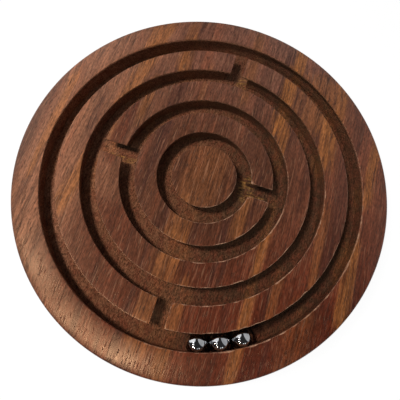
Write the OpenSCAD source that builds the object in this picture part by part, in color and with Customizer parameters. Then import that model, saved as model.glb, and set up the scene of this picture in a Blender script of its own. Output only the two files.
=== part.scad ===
// Round wooden ball labyrinth: a turned disc with four undercut ring grooves,
// joined by slots, and three steel balls that the lips of the grooves hold in.
// Origin at the centre of the underside, +Z up, millimetres.

/* [Board] */
// Diameter of the disc
board_d = 116; // [108:0.5:128]
// Thickness of the disc
board_t = 19; // [14:0.5:26]
// Fall of the crowned rim from its inner to its outer edge
rim_fall = 0.7; // [0.3:0.05:1.2]
// Rounding of the upper outer edge
top_round = 0.8; // [0.4:0.1:2]
// Rounding of the lower outer edge
bottom_round = 1.5; // [0.4:0.1:3]
// Width of the rim outside the outer groove
rim_w = 8.4; // [6:0.05:10]
// Width of the wall between grooves 1 and 2, counted from outside
wall_1_w = 7.2; // [6:0.05:8]
// Width of the wall between grooves 2 and 3
wall_2_w = 6.95; // [6:0.05:8]
// Width of the wall between grooves 3 and 4
wall_3_w = 6.7; // [6:0.05:8]

/* [Grooves and slots] */
// Width of a groove at the top face, less than a ball
groove_w = 4.7; // [4.4:0.05:5.1]
// Width of a slot at the top face, a little less than a groove
slot_w = 4.2; // [3.9:0.05:4.6]
// Thickness of the lips over the channel
lip_t = 0.9; // [0.6:0.05:1.1]
// Chamfer that breaks the edges of grooves and slots
edge_break = 0.2; // [0.1:0.05:0.35]

/* [Balls] */
// Diameter of a ball
ball_d = 6.35; // [6:0.05:6.6]
// Room on either side of a ball that is in the middle of its channel
ball_side_room = 0.95; // [0.5:0.05:1.2]
// Depth of the top of a ball below the top face
ball_sink = 0.6; // [0.4:0.05:1]
// Gap that keeps a ball off the faces it rests on
ball_lift = 0.03; // [0.02:0.01:0.1]
// Gap between two neighbouring balls at rest
ball_gap = 0.12; // [0.06:0.02:1]
// Direction of the middle ball from the centre, in degrees
middle_ball_angle = 292.2; // [280:0.1:345]

/* [Hidden] */
$fn = 120;

// Radii of the middle lines of the grooves, from the outer groove inwards
track_1_r = board_d / 2 - rim_w - groove_w / 2;
track_2_r = track_1_r - groove_w - wall_1_w;
track_3_r = track_2_r - groove_w - wall_2_w;
track_4_r = track_3_r - groove_w - wall_3_w;

// Arc of the crowned rim, and the centre of the round that joins it to the side of the disc
rim_r = board_d / 2 - rim_w;
crown_r = (rim_w * rim_w + rim_fall * rim_fall) / (2 * rim_fall);
round_r = board_d / 2 - top_round;
crown_lean = asin((round_r - rim_r) / (crown_r - top_round));
round_z = board_t - crown_r + (crown_r - top_round) * cos(crown_lean);

// Section of the channel under the lips
channel_w = ball_d + 2 * ball_side_room;
groove_depth = ball_lift + ball_d + ball_sink;
floor_z = board_t - groove_depth;
channel_h = groove_depth - lip_t;

// Sideways room that a ball's own roundness needs under the edge of a lip
lip_rise = ball_d / 2 + ball_sink - lip_t;
lip_reach = sqrt(max(0, pow(ball_d / 2 + ball_lift, 2) - pow(lip_rise, 2)));

// The balls have rolled outwards until the side of the channel or the edge of the lip stops them
ball_out = max(0, min(ball_side_room - ball_lift, groove_w / 2 - lip_reach));
ball_ring_r = track_1_r + ball_out;

// Height of the balls, and the angle from one ball to the next
ball_z = floor_z + ball_lift + ball_d / 2;
ball_step = 2 * asin((ball_d + ball_gap) / 2 / ball_ring_r);

// How far a cut runs past the face that it opens
over = 1;

// Half of the disc's section, with its crowned rim and rounded outer edges
module disc_section() {
    difference() {
        square([board_d / 2, board_t]);
        crown_waste();
        top_round_waste();
        bottom_round_waste();
    }
}

// What lies above the crown of the rim
module crown_waste() {
    difference() {
        translate([rim_r, board_t - rim_fall]) square([rim_w + over, rim_fall + over]);
        translate([rim_r, board_t - crown_r]) circle(crown_r);
    }
}

// What lies outside the round between the crown and the side
module top_round_waste() {
    far = top_round + rim_fall + over;
    translate([round_r, round_z]) difference() {
        polygon([[0, 0], [far * sin(crown_lean), far * cos(crown_lean)], [far, far], [far, 0]]);
        circle(top_round);
    }
}

// What lies outside the round between the side and the underside
module bottom_round_waste() {
    translate([board_d / 2 - bottom_round, bottom_round]) difference() {
        translate([0, -bottom_round - over]) square(bottom_round + over);
        circle(bottom_round);
    }
}

// Section of a groove or slot around its middle line: a mouth, its broken edges and the wider channel
module keyhole_section(mouth_w) {
    translate([-mouth_w / 2, floor_z]) square([mouth_w, groove_depth + over]);
    translate([-channel_w / 2, floor_z]) square([channel_w, channel_h]);
    polygon([
        [-mouth_w / 2, board_t - edge_break],
        [mouth_w / 2, board_t - edge_break],
        [mouth_w / 2 + edge_break + over, board_t + over],
        [-mouth_w / 2 - edge_break - over, board_t + over]
    ]);
}

// Disc turned with its four ring grooves
module turned_disc() {
    rotate_extrude() difference() {
        disc_section();
        for (r = [track_1_r, track_2_r, track_3_r, track_4_r])
            translate([r, 0]) keyhole_section(groove_w);
    }
}

// Slot through a ring wall, from one groove to the next
module slot_cut(inner_r, outer_r, angle) {
    rotate([0, 0, angle]) translate([inner_r, 0, 0]) rotate([90, 0, 90])
        linear_extrude(outer_r - inner_r) keyhole_section(slot_w);
}

module board() {
    color("saddlebrown") difference() {
        turned_disc();
        slot_cut(track_2_r, track_1_r, 90);
        slot_cut(track_2_r, track_1_r, 270);
        slot_cut(track_3_r, track_2_r, 180);
        slot_cut(track_4_r, track_3_r, 0);
    }
}

// Ball in the outer groove, in a direction from the centre
module ball(angle) {
    color("silver") rotate([0, 0, angle]) translate([ball_ring_r, 0, ball_z]) sphere(d = ball_d);
}

module ball_left() {
    ball(middle_ball_angle - ball_step);
}

module ball_middle() {
    ball(middle_ball_angle);
}

module ball_right() {
    ball(middle_ball_angle + ball_step);
}

board();
ball_left();
ball_middle();
ball_right();
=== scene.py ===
"""Looks for a round wooden ball labyrinth.

A turned rosewood board with worn edges and rough grooves, and three polished steel balls.
"""

import math

import bmesh
import bpy
from mathutils import Matrix, Vector, noise


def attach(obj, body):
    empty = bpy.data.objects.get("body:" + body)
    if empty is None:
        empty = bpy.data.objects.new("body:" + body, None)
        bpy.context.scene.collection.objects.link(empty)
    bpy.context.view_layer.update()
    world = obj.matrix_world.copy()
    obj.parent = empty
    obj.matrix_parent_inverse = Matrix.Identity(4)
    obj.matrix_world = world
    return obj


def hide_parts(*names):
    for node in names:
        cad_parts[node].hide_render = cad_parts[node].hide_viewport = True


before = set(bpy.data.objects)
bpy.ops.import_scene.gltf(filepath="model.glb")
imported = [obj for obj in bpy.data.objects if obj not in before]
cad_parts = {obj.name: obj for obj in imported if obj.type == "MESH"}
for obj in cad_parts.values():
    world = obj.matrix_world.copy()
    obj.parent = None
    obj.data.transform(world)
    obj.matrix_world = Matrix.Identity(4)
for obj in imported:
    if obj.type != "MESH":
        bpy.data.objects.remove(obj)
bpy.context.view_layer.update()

MM = 0.001
FULL_TURN = 2 * math.pi

# Sizes of the board in millimetres, the same as in the part's source
BOARD_R, BOARD_T = 58.0, 19.0
TOP_ROUND, BOTTOM_ROUND = 0.8, 1.5
RIM_FALL = 0.7
TRACKS = (47.25, 35.35, 23.70, 12.30)
SLOTS = ((90.0, 270.0), (180.0,), (0.0,))
GROOVE_W, SLOT_W, CHANNEL_W = 4.7, 4.2, 8.25
LIP_T, DEPTH = 0.9, 6.98
LIP_Z, FLOOR_Z = BOARD_T - LIP_T, BOARD_T - DEPTH
LIP_REACH = (CHANNEL_W - GROOVE_W) / 2

# Fineness of the board's mesh: steps round a ring, across a wall, down a channel and across a floor
ROUND_STEPS, WALL_STEPS, CHANNEL_STEPS, FLOOR_STEPS = 580, 12, 2, 12
# Steps over the crown of the rim, its upper round, its side and its lower round
CROWN_STEPS, TOP_STEPS, SIDE_STEPS, BOTTOM_STEPS = 6, 5, 3, 5
# Rings on the underside and on the round middle, as shares of their radius
UNDERSIDE_RINGS, MIDDLE_RINGS = (0.6, 0.2), (0.7, 0.4, 0.12)
# Angles of the points of a ring, and heights of the rows of a channel's side above its floor
ANGLES = [FULL_TURN * i / ROUND_STEPS for i in range(ROUND_STEPS)]
CHANNEL_LEVELS = [LIP_Z + (FLOOR_Z - LIP_Z) * k / CHANNEL_STEPS for k in range(CHANNEL_STEPS)]
# Rows that edge_levels gives, and the angle in degrees from which an edge is shaded sharp
EDGE_ROWS = 6
SHARP_ANGLE = 32.0

# Wear of the edges in millimetres: everywhere, slow change, fine nicks and what the worn side has more,
# its least and most, and the direction of the worn side in degrees
EDGE_WIDTH, EDGE_DRIFT, EDGE_NICKS, EDGE_WEAR = 0.07, 0.04, 0.10, 0.34
EDGE_LEAST, EDGE_MOST = 0.05, 0.75
WORN_SIDE = 320.0
# Form of a worn edge: the flat strip behind it, its drop there, its shoulder as a share of its width,
# and its set-back at the underside of the lip
EDGE_STRIP, EDGE_DROP, EDGE_SHOULDER, EDGE_BACK = 0.12, 0.01, 0.30, 0.05

# Roughness of the floors in millimetres: how far they lie below the source's floor,
# their slow and fine change, and their deepest dip
FLOOR_SUNK, FLOOR_SLOW, FLOOR_FINE, FLOOR_DIP = 0.14, 0.08, 0.10, 0.16

# Noises of the edges and floors: layer and features for each millimetre, and the point where all of them start
DRIFT_NOISE, NICK_NOISE, WEAR_NOISE, CHIP_NOISE = (0.0, 0.22), (3.0, 1.1), (1.0, 0.45), (5.0, 2.2)
SLOW_NOISE, FINE_NOISE, RIDGE_NOISE = (0.0, 0.7), (9.0, 1.6), (4.0, 0.6)
NOISE_X, NOISE_Y, NOISE_Z = 31.7, -12.3, 7.9

# Chips broken from the edges: place, size across and depth
CHIPS = [
    (-9.9, -0.4, 0.8, 0.60),
    (9.9, 18.9, 0.5, 0.45),
    (10.9, 18.4, 0.4, 0.40),
    (-33.0, 2.1, 1.1, 0.55),
    (-26.1, -2.1, 0.8, 0.40),
    (-21.3, 0.9, 0.7, 0.40),
    (-21.3, -1.6, 0.9, 0.45),
    (21.3, -2.1, 1.0, 0.60),
    (14.6, 2.1, 0.7, 0.35),
    (14.6, -2.1, 0.8, 0.45),
    (2.1, 37.7, 0.7, 0.40),
    (-2.1, 44.9, 0.6, 0.30),
    (2.1, -37.7, 0.6, 0.30),
    (2.1, -44.9, 0.6, 0.30),
]

# Ridges of torn fibre left along the floors of the two inner slots: both ends, half width and height
FIBRES = [
    (-33.5, -0.1, -25.2, -0.6, 0.40, 0.75),
    (-31.0, 0.9, -24.0, 0.5, 0.30, 0.55),
    (12.5, -0.4, 21.5, -1.0, 0.40, 0.75),
    (11.5, 0.6, 17.5, 0.1, 0.30, 0.60),
]


def grainy(x, y, layer, scale):
    """Smooth noise from -1 to 1 with features of about 1 / scale millimetres; layers differ."""
    return noise.noise(Vector((x * scale + NOISE_X, y * scale + NOISE_Y, layer * scale + NOISE_Z)))


def edge_width(x, y):
    """Width to which an edge is worn round: uneven, and most on the worn side and at chips."""
    side = 0.5 + 0.5 * math.cos(math.atan2(y, x) - math.radians(WORN_SIDE))
    width = EDGE_WIDTH + EDGE_DRIFT * grainy(x, y, *DRIFT_NOISE)
    width += EDGE_NICKS * max(0.0, grainy(x, y, *NICK_NOISE))
    width += EDGE_WEAR * side ** 2 * max(0.0, 0.25 + grainy(x, y, *WEAR_NOISE))
    for chip_x, chip_y, size, depth in CHIPS:
        near = math.exp(-((x - chip_x) ** 2 + (y - chip_y) ** 2) / size ** 2)
        width += near * depth * (1.0 + 0.5 * grainy(x, y, *CHIP_NOISE))
    return min(max(width, EDGE_LEAST), EDGE_MOST)


def floor_height(x, y):
    """Height of the rough floor; only the torn fibres in the inner slots rise above the source's floor."""
    fuzz = FLOOR_SLOW * grainy(x, y, *SLOW_NOISE) + FLOOR_FINE * grainy(x, y, *FINE_NOISE)
    height = FLOOR_Z - FLOOR_SUNK + max(min(fuzz, FLOOR_SUNK), -FLOOR_DIP)
    for x0, y0, x1, y1, half, rise in FIBRES:
        share = min(max((x - x0) / (x1 - x0), 0.0), 1.0)
        apart = math.hypot(x - x0 - (x1 - x0) * share, y - y0 - (y1 - y0) * share)
        height += rise * math.exp(-((apart / half) ** 2)) * (0.7 + 0.6 * grainy(x, y, *RIDGE_NOISE))
    return height


class Shell:
    """Points given in millimetres, and the faces between rows of them."""

    def __init__(self):
        self.points, self.faces = [], []

    def point(self, x, y, z):
        self.points.append((x * MM, y * MM, z * MM))
        return len(self.points) - 1

    def place(self, index):
        return [c / MM for c in self.points[index]]

    def between(self, a, b, share, height=None):
        first, last = self.place(a), self.place(b)
        x, y, z = (p + (q - p) * share for p, q in zip(first, last))
        return self.point(x, y, z if height is None else height(x, y))

    def strip(self, row_a, row_b, closed=True):
        for i in range(len(row_a) - (0 if closed else 1)):
            j = (i + 1) % len(row_a)
            self.faces.append((row_a[i], row_a[j], row_b[j], row_b[i]))

    def rows(self, rows, closed=True):
        for row_a, row_b in zip(rows, rows[1:]):
            self.strip(row_a, row_b, closed)

    def fan(self, row, z):
        middle = self.point(0.0, 0.0, z)
        for i, a in enumerate(row):
            self.faces.append((a, row[(i + 1) % len(row)], middle))


def edge_levels(width):
    """Rows of a worn edge, from the top face to the underside of the lip: how far back, and how high."""
    return (
        (width + EDGE_STRIP, BOARD_T),
        (width, BOARD_T - EDGE_DROP),
        (EDGE_SHOULDER * width, BOARD_T - EDGE_SHOULDER * width),
        (0.0, BOARD_T - width),
        (0.0, BOARD_T - 0.5 * (width + LIP_T)),
        (EDGE_BACK, LIP_Z),
    )


def ring(shell, radius, z):
    """Closed row of points; z is a number or a function of the place."""
    row = []
    for angle in ANGLES:
        x, y = radius * math.cos(angle), radius * math.sin(angle)
        row.append(shell.point(x, y, z(x, y) if callable(z) else z))
    return row


def turned_edge(shell, radius, outward):
    """Lip and channel side round a circle; outward is 1 where the wood lies outside it, and -1 inside.

    Returns its first and last rows.
    """
    rows = [[] for _ in range(EDGE_ROWS)]
    for angle in ANGLES:
        cos, sin = math.cos(angle), math.sin(angle)
        width = edge_width(radius * cos, radius * sin)
        for row, (back, z) in zip(rows, edge_levels(width)):
            r = radius + outward * back
            row.append(shell.point(r * cos, r * sin, z))
    channel_r = radius + outward * LIP_REACH
    rows += [ring(shell, channel_r, z) for z in CHANNEL_LEVELS + [floor_height]]
    shell.rows(rows)
    return rows[0], rows[-1]


def build_rim(shell):
    """Rim, outer side and underside; returns the row where the rim meets the floor of groove 1."""
    inner = TRACKS[0] + GROOVE_W / 2
    top, foot = turned_edge(shell, inner, 1)
    rows = [top]
    # The rim is crowned: an arc that falls outwards, then a small round into the side
    crown_r = ((BOARD_R - inner) ** 2 + RIM_FALL ** 2) / (2 * RIM_FALL)
    round_x = BOARD_R - TOP_ROUND
    lean = math.asin((round_x - inner) / (crown_r - TOP_ROUND))
    round_z = BOARD_T - crown_r + (crown_r - TOP_ROUND) * math.cos(lean)
    for k in range(1, CROWN_STEPS + 1):
        turn = lean * k / CROWN_STEPS
        out_by, down_by = crown_r * math.sin(turn), crown_r * (1 - math.cos(turn))
        rows.append(ring(shell, inner + out_by, BOARD_T - down_by))
    for k in range(1, TOP_STEPS + 1):
        turn = lean + (math.pi / 2 - lean) * k / TOP_STEPS
        out_by, up_by = TOP_ROUND * math.sin(turn), TOP_ROUND * math.cos(turn)
        rows.append(ring(shell, round_x + out_by, round_z + up_by))
    for k in range(1, SIDE_STEPS + 1):
        rows.append(ring(shell, BOARD_R, round_z + (BOTTOM_ROUND - round_z) * k / SIDE_STEPS))
    for k in range(1, BOTTOM_STEPS + 1):
        turn = math.pi / 2 * k / BOTTOM_STEPS
        in_by, up_by = BOTTOM_ROUND * (1 - math.cos(turn)), BOTTOM_ROUND * (1 - math.sin(turn))
        rows.append(ring(shell, BOARD_R - in_by, up_by))
    rows += [ring(shell, BOARD_R * share, 0.0) for share in UNDERSIDE_RINGS]
    shell.rows(rows)
    shell.fan(rows[-1], 0.0)
    return foot


def build_middle(shell):
    """Round middle; returns the row where it meets the floor of groove 4."""
    radius = TRACKS[3] - GROOVE_W / 2
    top, foot = turned_edge(shell, radius, -1)
    rows = [top] + [ring(shell, radius * share, BOARD_T) for share in MIDDLE_RINGS]
    shell.rows(rows)
    shell.fan(rows[-1], BOARD_T)
    return foot


class Wall:
    """Ring wall between two grooves, cut by slots into one or two bars."""

    def __init__(self, shell, number):
        self.shell = shell
        self.outer_r = TRACKS[number] - GROOVE_W / 2
        self.inner_r = TRACKS[number + 1] + GROOVE_W / 2
        self.slots = [math.radians(a) for a in SLOTS[number]]
        middle = (self.outer_r + self.inner_r) / 2
        self.gap_steps = round(math.asin(CHANNEL_W / 2 / middle) / math.pi * ROUND_STEPS)
        self.arc_steps = ROUND_STEPS // len(self.slots) - self.gap_steps
        steps, sides = self.arc_steps, WALL_STEPS
        self.stations = [("outer", k / steps) for k in range(steps + 1)]
        self.stations += [("end", k / sides) for k in range(1, sides)]
        self.stations += [("inner", 1 - k / steps) for k in range(steps + 1)]
        self.stations += [("start", 1 - k / sides) for k in range(1, sides)]
        turns = self.slots[1:] + [self.slots[0] + FULL_TURN]
        self.feet = [self.build_bar(start, end) for start, end in zip(self.slots, turns)]
        self.join_slots()

    def station(self, bar, side, share, inset, half):
        """Place on a bar's outline, set back by inset on its arcs and by half from the lines of its slots."""
        start, end = bar
        if side in ("outer", "inner"):
            r = self.outer_r - inset if side == "outer" else self.inner_r + inset
            lean = math.asin(half / r)
            angle = start + lean + (end - start - 2 * lean) * share
            return r * math.cos(angle), r * math.sin(angle)
        slot, hand = (start, 1) if side == "start" else (end, -1)
        far = math.sqrt((self.outer_r - inset) ** 2 - half ** 2)
        near = math.sqrt((self.inner_r + inset) ** 2 - half ** 2)
        along, aside = far + (near - far) * share, hand * half
        cos, sin = math.cos(slot), math.sin(slot)
        return along * cos - aside * sin, along * sin + aside * cos

    def split(self, row):
        """The four sides of a row round a bar, arcs from start to end and ends from outside inwards."""
        steps, sides = self.arc_steps, WALL_STEPS
        outer = row[:steps + 1]
        end = row[steps:steps + sides + 1]
        inner = row[steps + sides:2 * steps + sides + 1][::-1]
        start = [row[0]] + row[2 * steps + sides + 1:][::-1] + [inner[0]]
        return outer, end, inner, start

    def build_bar(self, start, end):
        """One bar down to the floor; returns the four sides of its foot."""
        bar, shell = (start, end), self.shell
        edge_rows = [[] for _ in range(EDGE_ROWS)]
        core_rows = [[] for _ in range(CHANNEL_STEPS + 1)]
        for side, share in self.stations:
            width = edge_width(*self.station(bar, side, share, 0.0, SLOT_W / 2))
            for row, (back, z) in zip(edge_rows, edge_levels(width)):
                x, y = self.station(bar, side, share, back, SLOT_W / 2 + back)
                row.append(shell.point(x, y, z))
            x, y = self.station(bar, side, share, LIP_REACH, CHANNEL_W / 2)
            for row, z in zip(core_rows, CHANNEL_LEVELS + [floor_height(x, y)]):
                row.append(shell.point(x, y, z))
        shell.rows(edge_rows + core_rows)
        outer, end_side, inner, start_side = self.split(edge_rows[0])
        top = [outer]
        for k in range(1, WALL_STEPS):
            middle = [shell.between(a, b, k / WALL_STEPS) for a, b in zip(outer[1:-1], inner[1:-1])]
            top.append([start_side[k]] + middle + [end_side[k]])
        shell.rows(top + [inner], closed=False)
        return self.split(core_rows[-1])

    def gap_row(self, a, b):
        """Points on the floor along an arc from one bar to the next, without its ends."""
        (ax, ay, _), (bx, by, _) = self.shell.place(a), self.shell.place(b)
        r, first = math.hypot(ax, ay), math.atan2(ay, ax)
        turn = (math.atan2(by, bx) - first) % FULL_TURN
        row = []
        for k in range(1, self.gap_steps):
            angle = first + turn * k / self.gap_steps
            x, y = r * math.cos(angle), r * math.sin(angle)
            row.append(self.shell.point(x, y, floor_height(x, y)))
        return row

    def join_slots(self):
        """Floors of the slots, and the closed rows along the floors of the grooves on either side."""
        shell, steps = self.shell, self.gap_steps
        outer_row, inner_row = [], []
        for here, after in zip(self.feet, self.feet[1:] + self.feet[:1]):
            outer, end_side, inner, _ = here
            next_outer, _, next_inner, start_side = after
            outer_gap = self.gap_row(outer[-1], next_outer[0])
            inner_gap = self.gap_row(inner[-1], next_inner[0])
            outer_row += outer + outer_gap
            inner_row += inner + inner_gap
            rows = [[outer[-1]] + outer_gap + [next_outer[0]]]
            for a, b in zip(end_side[1:WALL_STEPS], start_side[1:WALL_STEPS]):
                middle = [shell.between(a, b, j / steps, floor_height) for j in range(1, steps)]
                rows.append([a] + middle + [b])
            rows.append([inner[-1]] + inner_gap + [next_inner[0]])
            shell.rows(rows, closed=False)
        self.outer_row, self.inner_row = self.turned(outer_row), self.turned(inner_row)

    def turned(self, row):
        """The row started where its angle is about zero, so that it matches its neighbours."""
        x, y, _ = self.shell.place(row[0])
        shift = round((math.atan2(y, x) % FULL_TURN) / FULL_TURN * ROUND_STEPS)
        return [row[(k - shift) % len(row)] for k in range(len(row))]


def build_board():
    """The whole board as one closed mesh, which stands for its CAD node."""
    shell = Shell()
    rim = build_rim(shell)
    walls = [Wall(shell, number) for number in range(len(SLOTS))]
    middle = build_middle(shell)
    outer_rows = [rim] + [wall.inner_row for wall in walls]
    inner_rows = [wall.outer_row for wall in walls] + [middle]
    for row_a, row_b in zip(outer_rows, inner_rows):
        floor = [row_a]
        for k in range(1, FLOOR_STEPS):
            share = k / FLOOR_STEPS
            floor.append([shell.between(a, b, share, floor_height) for a, b in zip(row_a, row_b)])
        shell.rows(floor + [row_b])
    mesh = bpy.data.meshes.new("turned_board")
    mesh.from_pydata(shell.points, [], shell.faces)
    work = bmesh.new()
    work.from_mesh(mesh)
    bmesh.ops.recalc_face_normals(work, faces=work.faces)
    work.to_mesh(mesh)
    work.free()
    mesh.shade_smooth()
    mesh.set_sharp_from_angle(angle=math.radians(SHARP_ANGLE))
    board = bpy.data.objects.new("turned_board", mesh)
    bpy.context.scene.collection.objects.link(board)
    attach(board, "board")
    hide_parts("board")
    return board


def srgb(red, green, blue):
    """Linear colour of an sRGB colour in 0 to 255."""
    def linear(c):
        c /= 255.0
        return c / 12.92 if c <= 0.04045 else ((c + 0.055) / 1.055) ** 2.4
    return (linear(red), linear(green), linear(blue), 1.0)


class Graph:
    """Shader nodes written as function calls; a value is a number, a colour or another node's output."""

    def __init__(self, tree):
        self.tree = tree
        tree.nodes.clear()

    def node(self, kind, **settings):
        made = self.tree.nodes.new(kind)
        for name, value in settings.items():
            setattr(made, name, value)
        return made

    def feed(self, socket, value):
        if isinstance(value, bpy.types.NodeSocket):
            self.tree.links.new(value, socket)
        else:
            socket.default_value = value

    def math(self, operation, a, b=0.0, c=0.0):
        made = self.node("ShaderNodeMath", operation=operation)
        for socket, value in zip(made.inputs, (a, b, c)):
            self.feed(socket, value)
        return made.outputs[0]

    def add(self, a, b):
        return self.math("ADD", a, b)

    def sub(self, a, b):
        return self.math("SUBTRACT", a, b)

    def mul(self, a, b):
        return self.math("MULTIPLY", a, b)

    def most(self, a, b):
        return self.math("MAXIMUM", a, b)

    def line(self, value, slope, start):
        """Value times slope, plus start."""
        return self.math("MULTIPLY_ADD", value, slope, start)

    def apart(self, value, middle):
        """How far a value is from a middle."""
        return self.math("ABSOLUTE", self.sub(value, middle))

    def length(self, a, b):
        """Length of a line that goes a one way and b across it."""
        return self.math("SQRT", self.add(self.mul(a, a), self.mul(b, b)))

    def fit(self, value, low, high, to_low=0.0, to_high=1.0, smooth=True):
        """The range low to high mapped to another, and held at its ends."""
        made = self.node("ShaderNodeMapRange", interpolation_type="SMOOTHSTEP" if smooth else "LINEAR")
        for socket, v in zip(made.inputs, (value, low, high, to_low, to_high)):
            self.feed(socket, v)
        return made.outputs[0]

    def mix(self, share, a, b, blend="MIX"):
        made = self.node("ShaderNodeMix", data_type="RGBA", blend_type=blend, clamp_factor=True)
        self.feed(made.inputs[0], share)
        self.feed(made.inputs[6], a)
        self.feed(made.inputs[7], b)
        return made.outputs[2]

    def shaded(self, colour, shade):
        """Colour made lighter or darker by a factor."""
        return self.mix(1.0, colour, self.vector(shade, shade, shade), "MULTIPLY")

    def vector(self, x, y, z):
        made = self.node("ShaderNodeCombineXYZ")
        for socket, value in zip(made.inputs, (x, y, z)):
            self.feed(socket, value)
        return made.outputs[0]

    def noise(self, place, rates, detail, rough, distortion=0.0):
        """Noise in 0 to 1; rates are its features for each millimetre in x, y and z."""
        made = self.node("ShaderNodeTexNoise", noise_dimensions="3D")
        self.feed(made.inputs["Vector"], self.vector(*(self.mul(p, r) for p, r in zip(place, rates))))
        made.inputs["Scale"].default_value = 1.0
        made.inputs["Detail"].default_value = detail
        made.inputs["Roughness"].default_value = rough
        made.inputs["Distortion"].default_value = distortion
        return made.outputs[0]

    def position_mm(self):
        scaled = self.node("ShaderNodeVectorMath", operation="SCALE")
        self.feed(scaled.inputs[0], self.node("ShaderNodeTexCoord").outputs["Object"])
        scaled.inputs["Scale"].default_value = 1.0 / MM
        parts = self.node("ShaderNodeSeparateXYZ")
        self.feed(parts.inputs[0], scaled.outputs[0])
        return parts.outputs[0], parts.outputs[1], parts.outputs[2]

    def bump(self, height, distance, normal=None):
        made = self.node("ShaderNodeBump")
        made.inputs["Strength"].default_value = 1.0
        made.inputs["Distance"].default_value = distance
        self.feed(made.inputs["Height"], height)
        if normal is not None:
            self.feed(made.inputs["Normal"], normal)
        return made.outputs[0]


def material(name):
    made = bpy.data.materials.new(name)
    made.use_nodes = True
    return made, Graph(made.node_tree)


def show(g, shader, kind="ShaderNodeOutputMaterial"):
    """Make a shader the surface of its material or world."""
    g.feed(g.node(kind).inputs["Surface"], shader.outputs[0])


# Wood tones
LEFT_TAN = srgb(141, 92, 67)
MID_BROWN = srgb(85, 50, 35)
RIGHT_RED = srgb(124, 68, 48)
HIGH_BROWN = srgb(124, 80, 64)
LOW_RED = srgb(97, 38, 21)
DARK_PLUM = srgb(66, 38, 32)
DARK_WINE = srgb(78, 34, 21)
GOLD = srgb(150, 92, 48)
RUST = srgb(134, 74, 50)
# Dark of the pores, also used as painted shade on the bare floors
PORE_AND_SHADE = srgb(44, 24, 18)
HAIR = srgb(176, 128, 98)
TORN = srgb(190, 140, 74)
# Painted fill light: a paler tone that lightens the shadowed floors on the left
RAW_PALE_FILL = srgb(172, 120, 92)
RAW = srgb(148, 99, 70)
RAW_DARK = srgb(86, 64, 46)
# Pale of the edges: worn wood, and partly a painted highlight
WORN_AND_HIGHLIT = srgb(172, 130, 104)

# Tones and gloss of the steel
STEEL_DIM, STEEL_BRIGHT = srgb(196, 198, 202), srgb(226, 227, 229)
STEEL_ROUGH, STEEL_HAZE = 0.02, 0.05

# Gloss of the wood: roughness of the polish, what the strands, pores and bare wood add to it,
# and its specular level and tint
POLISH, STRAND_ROUGH, PORE_ROUGH, BARE_ROUGH = 0.23, 0.18, 0.2, 0.40
WOOD_SPECULAR, WOOD_TINT = 0.40, (1.0, 0.84, 0.70, 1.0)

# Depth of bumps in millimetres: grain, fuzz of the bare floors and scratches of the steel
GRAIN_BUMP, FUZZ_BUMP, SCRATCH_BUMP = 0.06, 0.45, 0.002

# How far the grain wanders slowly and ripples, in millimetres, and how much it leans with depth
DRIFT, RIPPLE, LEAN = 1.0, 0.8, 0.22

# Noises along the grain: features for each millimetre across and along it, detail and roughness
BANDS = (0.22, 0.014, 3.0, 0.6)
LINES = (0.8, 0.045, 3.0, 0.65)
STRANDS = (1.9, 0.12, 2.0, 0.7)
FIBRE = (2.8, 0.9, 1.0, 0.5)
PORES = (2.7, 0.33, 1.0, 0.5)
HAIRS = (3.8, 0.19, 1.0, 0.5)

# Noises by place: features for each millimetre in x, y and z, detail, roughness and distortion
WANDER = ((0.033, 0.013, 0.033), 1.0, 0.5)
WAVES = ((0.16, 0.04, 0.16), 1.0, 0.5)
FUZZ = ((2.5, 1.3, 2.5), 3.0, 0.75)
DUST = ((0.5, 0.3, 0.5), 3.0, 0.65)
TORN_LINES = ((0.35, 1.5, 1.5), 2.0, 0.6)
PATCHES = ((1.0, 1.0, 1.0), 3.0, 0.7)
HAZE = ((0.9, 0.9, 0.9), 3.0, 0.6)
SCRATCHES = ((9.0, 1.5, 3.0), 2.0, 0.6, 1.5)

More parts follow.
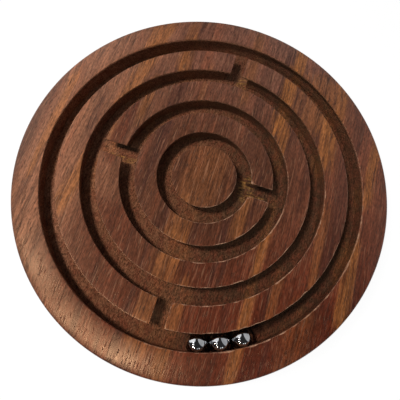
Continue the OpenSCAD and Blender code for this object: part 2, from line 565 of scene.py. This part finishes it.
# Streaks of the figure, all along the grain: tone, middle at y = 0, lean, half width, strength,
# and the middle and half length of the stretch where it shows, in millimetres
STREAKS = [
    (GOLD, -50.6, 0.00, 1.3, 0.50, 3, 14),
    (GOLD, -35.0, 0.15, 2.6, 0.55, 14, 34),
    (GOLD, -25.5, 0.00, 1.8, 0.40, 19, 4),
    (GOLD, -17.5, 0.00, 2.0, 0.40, 39, 4),
    (GOLD, -31.5, 0.00, 2.0, 0.42, 44, 6),
    (GOLD, -19.0, 0.00, 2.0, 0.30, 44, 6),
    (GOLD, -9.0, 0.00, 1.2, 0.20, 28, 5),
    (GOLD, 4.5, 0.00, 2.0, 0.30, 44, 12),
    (GOLD, 0.0, 0.00, 8.0, 0.20, 0, 6),
    (GOLD, -2.5, 0.00, 3.6, 0.35, -18, 4),
    (GOLD, -3.0, 0.00, 5.0, 0.42, -36, 12),
    (GOLD, 3.8, 0.00, 2.6, 0.45, -46, 10),
    (GOLD, 14.0, 0.00, 2.4, 0.40, -8, 4),
    (GOLD, 18.0, 0.00, 2.5, 0.90, 33, 8),
    (GOLD, 20.2, 0.00, 2.2, 0.85, 52, 4),
    (GOLD, 20.5, 0.00, 1.8, 0.60, 17, 3),
    (GOLD, 22.8, 0.00, 1.7, 0.64, -30, 26),
    (GOLD, 30.0, 0.00, 10.0, 0.40, 36, 6),
    (GOLD, 36.5, -0.08, 3.4, 0.75, 24, 6),
    (GOLD, 35.5, 0.00, 3.0, 0.45, 41, 4),
    (GOLD, 38.5, -0.02, 1.6, 0.35, -14, 12),
    (GOLD, 50.4, 0.02, 2.0, 0.70, 20, 9),
    (GOLD, 48.6, 0.00, 2.4, 0.80, -18, 9),
    (DARK_PLUM, -55.5, 0.00, 2.6, 0.55, 0, 20),
    (DARK_WINE, -29.8, 0.00, 2.6, 0.70, 8, 7),
    (DARK_PLUM, -18.0, 0.05, 2.8, 0.45, 0, 10),
    (DARK_WINE, -24.0, 0.00, 10.0, 0.60, -31, 10),
    (DARK_PLUM, -36.0, 0.00, 4.0, 0.35, -40, 5),
    (DARK_WINE, 8.5, 0.00, 2.2, 0.40, -29, 3),
    (DARK_PLUM, 10.0, 0.00, 2.5, 0.30, 30, 8),
    (DARK_PLUM, 23.5, 0.00, 1.4, 0.30, 32, 8),
    (DARK_PLUM, 42.6, -0.02, 2.8, 0.60, 2, 18),
    (DARK_PLUM, 55.0, 0.00, 2.0, 0.25, 8, 16),
    (DARK_WINE, 14.5, 0.00, 4.0, 0.35, -48, 7),
    (DARK_WINE, 27.0, 0.00, 1.8, 0.35, -46, 8),
    (DARK_WINE, 34.5, 0.03, 2.0, 0.40, -34, 12),
    (GOLD, 29.5, 0.00, 2.0, 0.30, -28, 4),
    (GOLD, 38.0, 0.00, 5.0, 0.20, -40, 8),
    (DARK_WINE, 42.0, 0.00, 2.4, 0.45, -32, 5),
]
# Length over which a streak fades out at each end, in millimetres
STREAK_FADE = 12.0

# Patches of frayed golden fibre on the floors: middle and reach in millimetres
FRAYED = ((14.2, 2.2, 3.4), (2.6, 39.3, 2.4))

# Middles of the two inner slots in millimetres: SLOT_APART to either side of x = SLOT_LINE_X
SLOT_LINE_X, SLOT_APART = -5.0, 23.0

# Where the wood is bare: inside this radius, and below and above these heights,
# each with a soft edge, in millimetres
BARE_INSIDE, BARE_BELOW, BARE_ABOVE = (52.0, 53.0), (18.5, 18.85), (5.0, 6.0)

# Direction in degrees of the lower right, where the edges are palest, as wear and partly a painted highlight,
# and where painted shadow darkens the outer groove
LOW_RIGHT = 325.0


class Grain:
    """Place on the board in millimetres, and the noises that the layers of the wood share."""

    def __init__(self, g):
        self.place = self.x, self.y, self.z = g.position_mm()
        # The grain runs along y, wanders a little and leans with depth
        drift = g.noise(self.place, *WANDER)
        ripple = g.noise(self.place, *WAVES)
        across = g.add(self.x, g.line(drift, 2 * DRIFT, -DRIFT))
        across = g.add(across, g.line(ripple, 2 * RIPPLE, -RIPPLE))
        self.across = g.add(across, g.line(self.z, LEAN, -LEAN * BOARD_T))
        self.bands, self.lines, self.strands, self.fibre, self.pores, self.hairs = (
            g.noise((self.across, self.y, self.z), (fine, slow, 0.7 * fine), detail, rough)
            for fine, slow, detail, rough in (BANDS, LINES, STRANDS, FIBRE, PORES, HAIRS)
        )
        self.pore_mask = g.fit(self.pores, 0.62, 0.70)
        self.fuzz = g.noise(self.place, *FUZZ)
        self.radius = g.length(self.x, self.y)
        turn = g.sub(g.math("ARCTAN2", self.y, self.x), math.radians(LOW_RIGHT))
        self.low_right = g.line(g.math("COSINE", turn), 0.5, 0.5)
        # Inside the rim's outer part, and there below the top face, where the wood is bare
        self.inside = g.fit(self.radius, *BARE_INSIDE, 1.0, 0.0)
        between = g.mul(g.fit(self.z, *BARE_BELOW, 1.0, 0.0), g.fit(self.z, *BARE_ABOVE))
        self.bare = g.mul(self.inside, between)


def paint_figure(g, grain):
    """Tones of the whole board, paler on the left, dark and red on the right and below, and its streaks."""
    colour = g.mix(g.fit(grain.y, 4.0, 54.0, 0.0, 0.85), MID_BROWN, HIGH_BROWN)
    colour = g.mix(g.fit(grain.across, 10.0, 56.0, 0.0, 0.80), colour, RIGHT_RED)
    low = g.sub(g.mul(grain.y, 0.85), g.mul(grain.across, 0.35))
    colour = g.mix(g.fit(low, -6.0, -46.0, 0.0, 0.86), colour, LOW_RED)
    colour = g.mix(g.fit(grain.across, -8.0, -54.0), colour, LEFT_TAN)
    colour = g.mix(g.fit(grain.bands, 0.50, 0.66, 0.0, 0.62), colour, DARK_PLUM)
    colour = g.mix(g.fit(grain.bands, 0.48, 0.32, 0.0, 0.40), colour, RUST)
    # The edges of the streaks are frayed
    fray = g.fit(grain.lines, 0.30, 0.70, -0.55, 0.55, smooth=False)
    fray = g.add(fray, g.fit(grain.strands, 0.30, 0.70, -0.30, 0.30, smooth=False))
    fray = g.line(fray, 0.75, 1.0)
    for tone, middle, lean, half_width, strength, centre, reach in STREAKS:
        offset = g.sub(grain.across, g.line(grain.y, lean, middle))
        ratio = g.mul(offset, 1.0 / half_width)
        bell = g.math("EXPONENT", g.mul(g.mul(ratio, ratio), -0.8))
        shown = g.fit(g.apart(grain.y, centre), reach, reach + STREAK_FADE, 1.0, 0.0)
        torn = g.mul(g.mul(bell, shown), fray)
        colour = g.mix(g.fit(torn, 0.25, 0.95, 0.0, strength), colour, tone)
    return colour


def paint_lines(g, grain, colour):
    """Fine lines, fibres, dark pores and pale hairs."""
    shade = g.fit(grain.lines, 0.30, 0.70, 0.78, 1.22, smooth=False)
    shade = g.mul(shade, g.fit(grain.strands, 0.28, 0.72, 0.62, 1.38, smooth=False))
    shade = g.mul(shade, g.fit(grain.fibre, 0.28, 0.72, 0.68, 1.32, smooth=False))
    colour = g.shaded(colour, shade)
    colour = g.mix(g.mul(grain.pore_mask, 0.55), colour, PORE_AND_SHADE)
    return g.mix(g.fit(grain.hairs, 0.58, 0.74, 0.0, 0.30), colour, HAIR)


def paint_bare(g, grain, colour):
    """Bare, fuzzy wood of the grooves and slots, with torn golden fibres, painted fill light on the floors at
    the left, and painted shade.
    """
    x, y = grain.x, grain.y
    dust = g.noise(grain.place, *DUST)
    # The floors are paler on the left: painted fill light in their shadows
    tone = g.mix(g.fit(x, -50.0, -22.0), RAW_PALE_FILL, RAW)
    tone = g.mix(g.fit(x, -16.0, 20.0), tone, RAW_DARK)
    tone = g.mix(g.fit(dust, 0.42, 0.62, 0.0, 0.7), tone, RIGHT_RED)
    bare = g.mix(0.60, colour, tone)
    # Golden fibres along the floors of the two inner slots and in frayed patches
    in_slots = g.fit(g.apart(g.apart(x, SLOT_LINE_X), SLOT_APART), 3.6, 4.8, 1.0, 0.0)
    golden = g.mul(in_slots, g.fit(g.apart(y, -0.3), 0.5, 1.3, 1.0, 0.0))
    for middle_x, middle_y, reach in FRAYED:
        away = g.length(g.sub(x, middle_x), g.mul(g.sub(y, middle_y), 0.6))
        golden = g.most(golden, g.fit(away, 0.55 * reach, reach, 0.8, 0.0))
    torn_lines = g.noise(grain.place, *TORN_LINES)
    bare = g.mix(g.mul(golden, g.fit(torn_lines, 0.44, 0.60, 0.0, 0.55)), bare, TORN)
    # Painted shade under the lip along one side of these slots, and a painted shadow on the inner side of the
    # outer groove at the lower right
    painted_lip_shade = g.mul(in_slots, g.mul(g.fit(y, 2.4, 3.6, 0.0, 0.80), g.fit(y, 4.2, 4.6, 1.0, 0.0)))
    bare = g.mix(painted_lip_shade, bare, PORE_AND_SHADE)
    painted_groove_shadow = g.mul(g.fit(grain.radius, 49.9, 48.9, 0.0, 0.75), g.fit(grain.radius, 42.5, 43.5))
    bare = g.mix(g.mul(painted_groove_shadow, g.fit(grain.low_right, 0.80, 0.96)), bare, PORE_AND_SHADE)
    bare = g.shaded(bare, g.fit(grain.fuzz, 0.34, 0.66, 0.32, 1.52, smooth=False))
    return g.mix(grain.bare, colour, bare)


def pale_edges_worn_and_highlit(g, grain):
    """Where the sloping edges of the grooves and slots are pale: worn wood, and at the lower right partly a
    painted highlight.
    """
    tilt = g.node("ShaderNodeSeparateXYZ")
    g.feed(tilt.inputs[0], g.node("ShaderNodeNewGeometry").outputs["True Normal"])
    up = tilt.outputs[2]
    sloped = g.mul(g.fit(up, 0.15, 0.3), g.fit(up, 0.93, 0.98, 1.0, 0.0))
    edges = g.mul(g.mul(sloped, grain.inside), g.fit(grain.z, 18.1, 18.4))
    patchy = g.noise(grain.place, *PATCHES)
    return g.mul(edges, g.fit(g.add(patchy, g.mul(grain.low_right, 0.45)), 0.72, 1.02))


def make_wood():
    wood, g = material("wood_grain")
    grain = Grain(g)
    colour = paint_lines(g, grain, paint_figure(g, grain))
    colour = paint_bare(g, grain, colour)
    # Pale edges: wear, and partly a painted highlight at the lower right
    worn = pale_edges_worn_and_highlit(g, grain)
    shader = g.node("ShaderNodeBsdfPrincipled")
    g.feed(shader.inputs["Base Color"], g.mix(worn, colour, WORN_AND_HIGHLIT))
    rough = g.add(g.line(grain.strands, STRAND_ROUGH, POLISH), g.mul(grain.pore_mask, PORE_ROUGH))
    rough = g.add(rough, g.mul(g.most(grain.bare, worn), BARE_ROUGH))
    g.feed(shader.inputs["Roughness"], rough)
    shader.inputs["Specular IOR Level"].default_value = WOOD_SPECULAR
    shader.inputs["Specular Tint"].default_value = WOOD_TINT
    relief = g.add(g.mul(grain.strands, 0.8), g.mul(grain.fibre, 0.25))
    normal = g.bump(g.sub(relief, g.mul(grain.pore_mask, 0.7)), GRAIN_BUMP * MM)
    normal = g.bump(g.mul(grain.fuzz, grain.bare), FUZZ_BUMP * MM, normal)
    g.feed(shader.inputs["Normal"], normal)
    show(g, shader)
    return wood


def make_steel():
    steel, g = material("polished_steel")
    place = g.position_mm()
    haze = g.noise(place, *HAZE)
    scratch = g.noise(place, *SCRATCHES)
    shader = g.node("ShaderNodeBsdfPrincipled")
    shader.inputs["Metallic"].default_value = 1.0
    g.feed(shader.inputs["Base Color"], g.mix(g.fit(haze, 0.3, 0.7), STEEL_DIM, STEEL_BRIGHT))
    g.feed(shader.inputs["Roughness"], g.line(haze, STEEL_HAZE, STEEL_ROUGH))
    g.feed(shader.inputs["Normal"], g.bump(scratch, SCRATCH_BUMP * MM))
    show(g, shader)
    return steel


def dress(piece, made):
    piece.data.materials.clear()
    piece.data.materials.append(made)


# The photograph's close view from above, from the side of the balls: where from and where to in millimetres,
# the turn of its upward direction from y, its roll, its lens, and the nearest that it sees in millimetres
VIEW_FROM, VIEW_TO = (2.871, -25.308, BOARD_T + 78.28), (0.936, -7.731, BOARD_T)
VIEW_TURN, VIEW_ROLL = 12.7, 4.53
LENS, SENSOR = 24.0, 36.0
NEAREST = 5.0


def make_camera():
    place, target = Vector(VIEW_FROM) * MM, Vector(VIEW_TO) * MM
    turn, roll = math.radians(VIEW_TURN), math.radians(VIEW_ROLL)
    ahead = (target - place).normalized()
    level = ahead.cross(Vector((-math.sin(turn), math.cos(turn), 0.0))).normalized()
    above = level.cross(ahead)
    right = math.cos(roll) * level + math.sin(roll) * above
    up = math.cos(roll) * above - math.sin(roll) * level
    data = bpy.data.cameras.new("camera")
    data.sensor_width = SENSOR
    data.lens = LENS
    data.clip_start = NEAREST * MM
    camera = bpy.data.objects.new("camera", data)
    axes = Matrix((right, up, -ahead)).transposed().to_4x4()
    camera.matrix_world = Matrix.Translation(place) @ axes
    bpy.context.scene.collection.objects.link(camera)
    bpy.context.scene.camera = camera


# Floor: half its width in metres, how far it lies below the board in millimetres, its colour,
# and the share and strength of the glow that camera and gloss see
FLOOR_HALF, FLOOR_GAP = 1.5, 0.1
FLOOR_COLOUR = (0.9, 0.9, 0.9, 1)
GLOW_SHARE, GLOW_STRENGTH = 0.9, 1.06


def make_floor():
    mesh = bpy.data.meshes.new("floor")
    square = ((-1, -1), (1, -1), (1, 1), (-1, 1))
    corners = [(x * FLOOR_HALF, y * FLOOR_HALF, -FLOOR_GAP * MM) for x, y in square]
    mesh.from_pydata(corners, [], [(0, 1, 2, 3)])
    floor = bpy.data.objects.new("floor", mesh)
    bpy.context.scene.collection.objects.link(floor)
    pale, g = material("pale_floor")
    path = g.node("ShaderNodeLightPath")
    seen = g.most(path.outputs["Is Camera Ray"], path.outputs["Is Glossy Ray"])
    seen = g.most(seen, path.outputs["Is Transmission Ray"])
    matt = g.node("ShaderNodeBsdfDiffuse")
    matt.inputs["Color"].default_value = FLOOR_COLOUR
    # Its glow and the light that it receives come to white together, and its shadow stays
    glow = g.node("ShaderNodeEmission")
    glow.inputs["Strength"].default_value = GLOW_STRENGTH
    both = g.node("ShaderNodeMixShader")
    g.feed(both.inputs[0], g.mul(seen, GLOW_SHARE))
    g.feed(both.inputs[1], matt.outputs[0])
    g.feed(both.inputs[2], glow.outputs[0])
    show(g, both)
    mesh.materials.append(pale)


# Key lamp: place in millimetres, size in metres, energy and colour
KEY_PLACE = (-59.0, -14.0, BOARD_T + 146.0)
KEY_SIZE, KEY_ENERGY, KEY_COLOUR = 0.026, 0.188, (1.0, 0.98, 0.95)

# Small low lamps that only put a sheen on the rim: azimuth, height and energy of each,
# and their distance, size and colour
SHEEN_LAMPS = ((211.0, 44.0, 0.23), (235.0, 45.0, 0.25), (258.0, 47.0, 0.44))
SHEEN_AWAY, SHEEN_SIZE, SHEEN_COLOUR = 0.32, 0.012, (1.0, 0.68, 0.44)

# What gloss shows round the object: a dark room with these lights in it,
# each with its azimuth, height, reach, soft edge and level
DARK_ROOM = 0.025
MIRRORED = (
    (150.0, 33.0, 22.0, 5.0, 1.0),  # window
    (166.0, 14.0, 18.0, 5.0, 1.0),  # lower part of the window
    (45.0, 14.0, 46.0, 4.0, 0.45),  # dim wall
    (170.0, 51.0, 6.0, 2.0, 1.6),  # lamps
    (197.0, 59.0, 5.0, 2.0, 1.6),
    (297.0, 52.0, 2.5, 1.5, 1.6),
    (322.0, 47.0, 3.5, 1.5, 1.6),
)

# What matt surfaces receive: a plain level, and how much stronger it is from the window's side
AMBIENT, AMBIENT_LEAN, AMBIENT_FROM = 0.31, 0.22, (185.0, 0.0)


def towards(azimuth, height):
    a, h = math.radians(azimuth), math.radians(height)
    return Vector((math.cos(a) * math.cos(h), math.sin(a) * math.cos(h), math.sin(h)))


def add_lamp(name, place, aim, size, energy, colour):
    """Round lamp that faces against aim."""
    data = bpy.data.lights.new(name, "AREA")
    data.shape = "DISK"
    data.size, data.energy, data.color = size, energy, colour
    lamp = bpy.data.objects.new(name, data)
    lamp.location = place
    lamp.rotation_mode = "QUATERNION"
    lamp.rotation_quaternion = aim.to_track_quat("Z", "Y")
    lamp.visible_camera = False
    bpy.context.scene.collection.objects.link(lamp)
    return lamp


def make_lamps():
    place = Vector(KEY_PLACE) * MM
    add_lamp("key", place, place, KEY_SIZE, KEY_ENERGY, KEY_COLOUR).visible_glossy = False
    top = Vector((0, 0, BOARD_T * MM))
    for azimuth, height, energy in SHEEN_LAMPS:
        aim = towards(azimuth, height)
        lamp = add_lamp("sheen", top + aim * SHEEN_AWAY, aim, SHEEN_SIZE, energy, SHEEN_COLOUR)
        lamp.visible_diffuse = False


def make_world():
    world = bpy.data.worlds.new("studio")
    world.use_nodes = True
    bpy.context.scene.world = world
    g = Graph(world.node_tree)
    path = g.node("ShaderNodeLightPath")
    seen = g.most(path.outputs["Is Camera Ray"], path.outputs["Is Transmission Ray"])
    direction = g.node("ShaderNodeTexCoord").outputs["Generated"]

    def closeness(azimuth, height):
        """Cosine of the angle between a ray and a direction."""
        side = g.node("ShaderNodeVectorMath", operation="DOT_PRODUCT")
        g.feed(side.inputs[0], direction)
        side.inputs[1].default_value = towards(azimuth, height)
        return side.outputs["Value"]

    mirrored = DARK_ROOM
    for azimuth, height, reach, soft, level in MIRRORED:
        edge, full = math.cos(math.radians(reach + soft)), math.cos(math.radians(reach))
        mirrored = g.most(mirrored, g.fit(closeness(azimuth, height), edge, full, 0.0, level))
    ambient = g.line(closeness(*AMBIENT_FROM), AMBIENT_LEAN, AMBIENT)
    light = g.mix(path.outputs["Is Glossy Ray"], g.vector(ambient, ambient, ambient), mirrored)
    back = g.node("ShaderNodeBackground")
    g.feed(back.inputs["Color"], g.mix(seen, light, (1, 1, 1, 1)))
    back.inputs["Strength"].default_value = 1.0
    show(g, back, "ShaderNodeOutputWorld")


wood, steel = make_wood(), make_steel()
dress(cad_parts["board"], wood)
dress(build_board(), wood)
for name in ("ball_left", "ball_middle", "ball_right"):
    dress(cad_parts[name], steel)

make_camera()
make_floor()
make_lamps()
make_world()
bpy.context.scene.view_settings.view_transform = "Standard"
